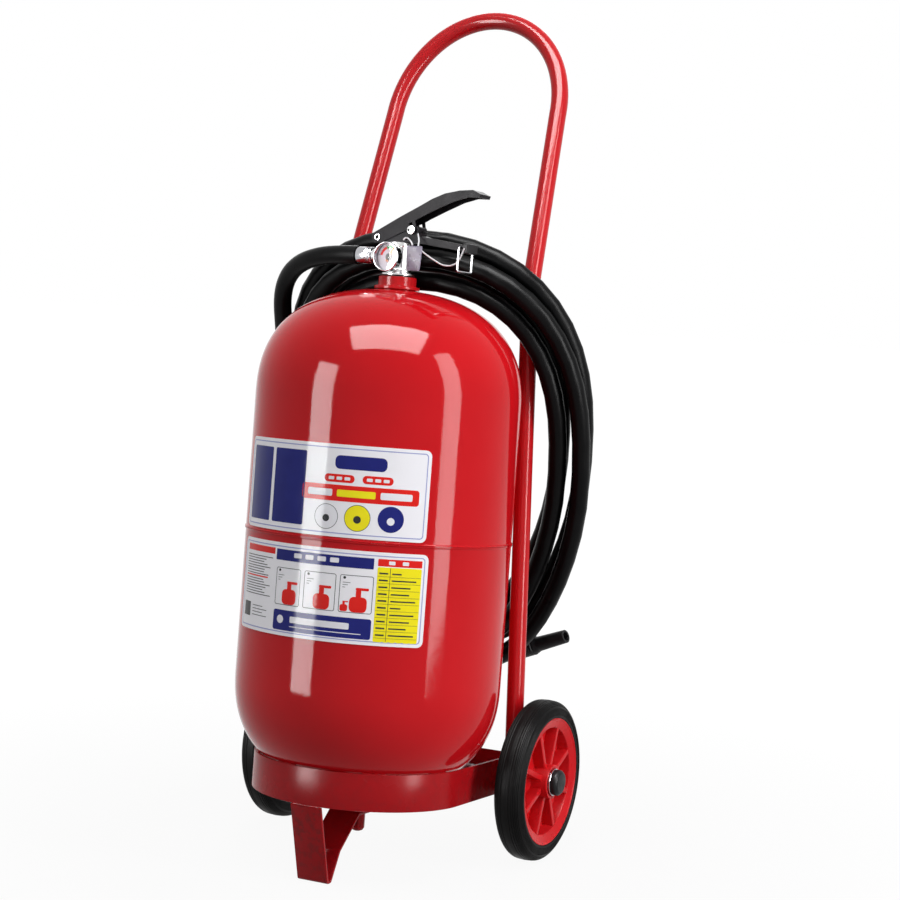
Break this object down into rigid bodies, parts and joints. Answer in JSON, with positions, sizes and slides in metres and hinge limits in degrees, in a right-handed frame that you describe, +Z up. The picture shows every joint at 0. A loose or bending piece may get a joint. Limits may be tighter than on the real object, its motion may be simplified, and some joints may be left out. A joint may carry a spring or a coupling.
{
  "type": "wheeled fire extinguisher",
  "caption": "Red wheeled dry-powder fire extinguisher: leaning steel cylinder in a tube-handled cart, lever valve with gauge, black hose hung in a coil behind.",
  "frame": {"origin": "floor under the middle of the rigid parts' bounding box", "axes": "+Z up, -Y towards the labels and foot, +Y towards the push handle, +X to the right of someone facing the labels"},
  "size_m": [0.3801, 0.3949, 0.915],
  "materials": {
    "red_paint": "gloss",
    "label_film": "satin",
    "tyre_rubber": "satin",
    "wheel_plastic": "gloss",
    "black_plastic": "satin",
    "black_metal": "satin",
    "hose_rubber": "satin",
    "chrome": "polished",
    "steel": "satin",
    "bright_valve": "polished",
    "brass": "satin",
    "dial_white": "matte",
    "needle_orange": "matte",
    "clear_lens": "gloss",
    "tag_film": "gloss",
    "seal_white": "satin",
    "bush_nylon": "matte"
  },
  "bodies": {
    "cart": {"axle": "steel", "base_band": "red_paint", "base_stud": "steel", "base_washer": "chrome", "carry_handle": "black_metal", "cross_bar": "red_paint", "foot_strap": "red_paint", "gauge_case": "chrome", "gauge_dial": "dial_white", "gauge_lens": "clear_lens", "grip_cap": "black_plastic", "handle_tube": "red_paint", "hose_coil": "hose_rubber", "hose_coupling": "chrome", "hose_lead": "hose_rubber", "left_axle_cap": "black_plastic", "left_retainer": "chrome", "left_spacer": "steel", "lever_pin": "chrome", "lower_label": "label_film", "neck_collar": "red_paint", "nozzle": "black_plastic", "right_axle_cap": "black_plastic", "right_retainer": "chrome", "right_spacer": "steel", "seal_cord": "seal_white", "seal_loop": "seal_white", "seal_tag": "tag_film", "seal_tie": "black_plastic", "siphon_tube": "bush_nylon", "sleeve_nut": "red_paint", "tank_boss": "red_paint", "tank_lower_shell": "red_paint", "tank_upper_shell": "red_paint", "upper_label": "label_film", "valve_body": "bright_valve", "valve_seal": "hose_rubber", "valve_spring": "steel"},
    "left_wheel": {"left_tyre": "tyre_rubber", "left_rim": "wheel_plastic", "left_bush": "bush_nylon"},
    "right_wheel": {"right_tyre": "tyre_rubber", "right_rim": "wheel_plastic", "right_bush": "bush_nylon"},
    "lever": {"operating_lever": "black_metal"},
    "stem": {"valve_stem": "brass"},
    "pull_pin": {"safety_pin": "chrome"},
    "needle": {"gauge_needle": "needle_orange"},
    "bail": {"hose_bail": "chrome"}
  },
  "joints": [
    {"name": "left_wheel_spin", "type": "hinge", "parent": "cart", "child": "left_wheel", "pos_m": [-0.156, 0.04826, 0.086], "axis": [1, 0, 0], "continuous": true},
    {"name": "right_wheel_spin", "type": "hinge", "parent": "cart", "child": "right_wheel", "pos_m": [0.156, 0.04826, 0.086], "axis": [1, 0, 0], "continuous": true},
    {"name": "lever_press", "type": "hinge", "parent": "cart", "child": "lever", "pos_m": [-0.02268, -0.01743, 0.65742], "axis": [0.1045, 0.9915, -0.078], "range_deg": [0, 7.5], "stiffness_Nm_per_rad": 1.5, "springref_deg": -3.44},
    {"name": "stem_slide", "type": "slide", "parent": "cart", "child": "stem", "axis": [0, -0.0785, -0.9969], "range_m": [0, 0.0034], "deforming": ["valve_spring"]},
    {"name": "safety_pin_pull", "type": "slide", "parent": "cart", "child": "pull_pin", "axis": [-0.1045, -0.9915, 0.078], "range_m": [0, 0.035]},
    {"name": "needle_turn", "type": "hinge", "parent": "cart", "child": "needle", "pos_m": [-0.00198, -0.04021, 0.63784], "axis": [-0.1045, -0.9915, 0.078], "range_deg": [-34, 86]},
    {"name": "bail_swing", "type": "hinge", "parent": "cart", "child": "bail", "pos_m": [0.08105, -0.02897, 0.64963], "axis": [-0.1045, -0.9915, 0.078], "range_deg": [-25, 90]}
  ],
  "couplings": [
    {"joint": "stem_slide", "follows": "lever_press", "m_per_rad": 0.0259}
  ]
}
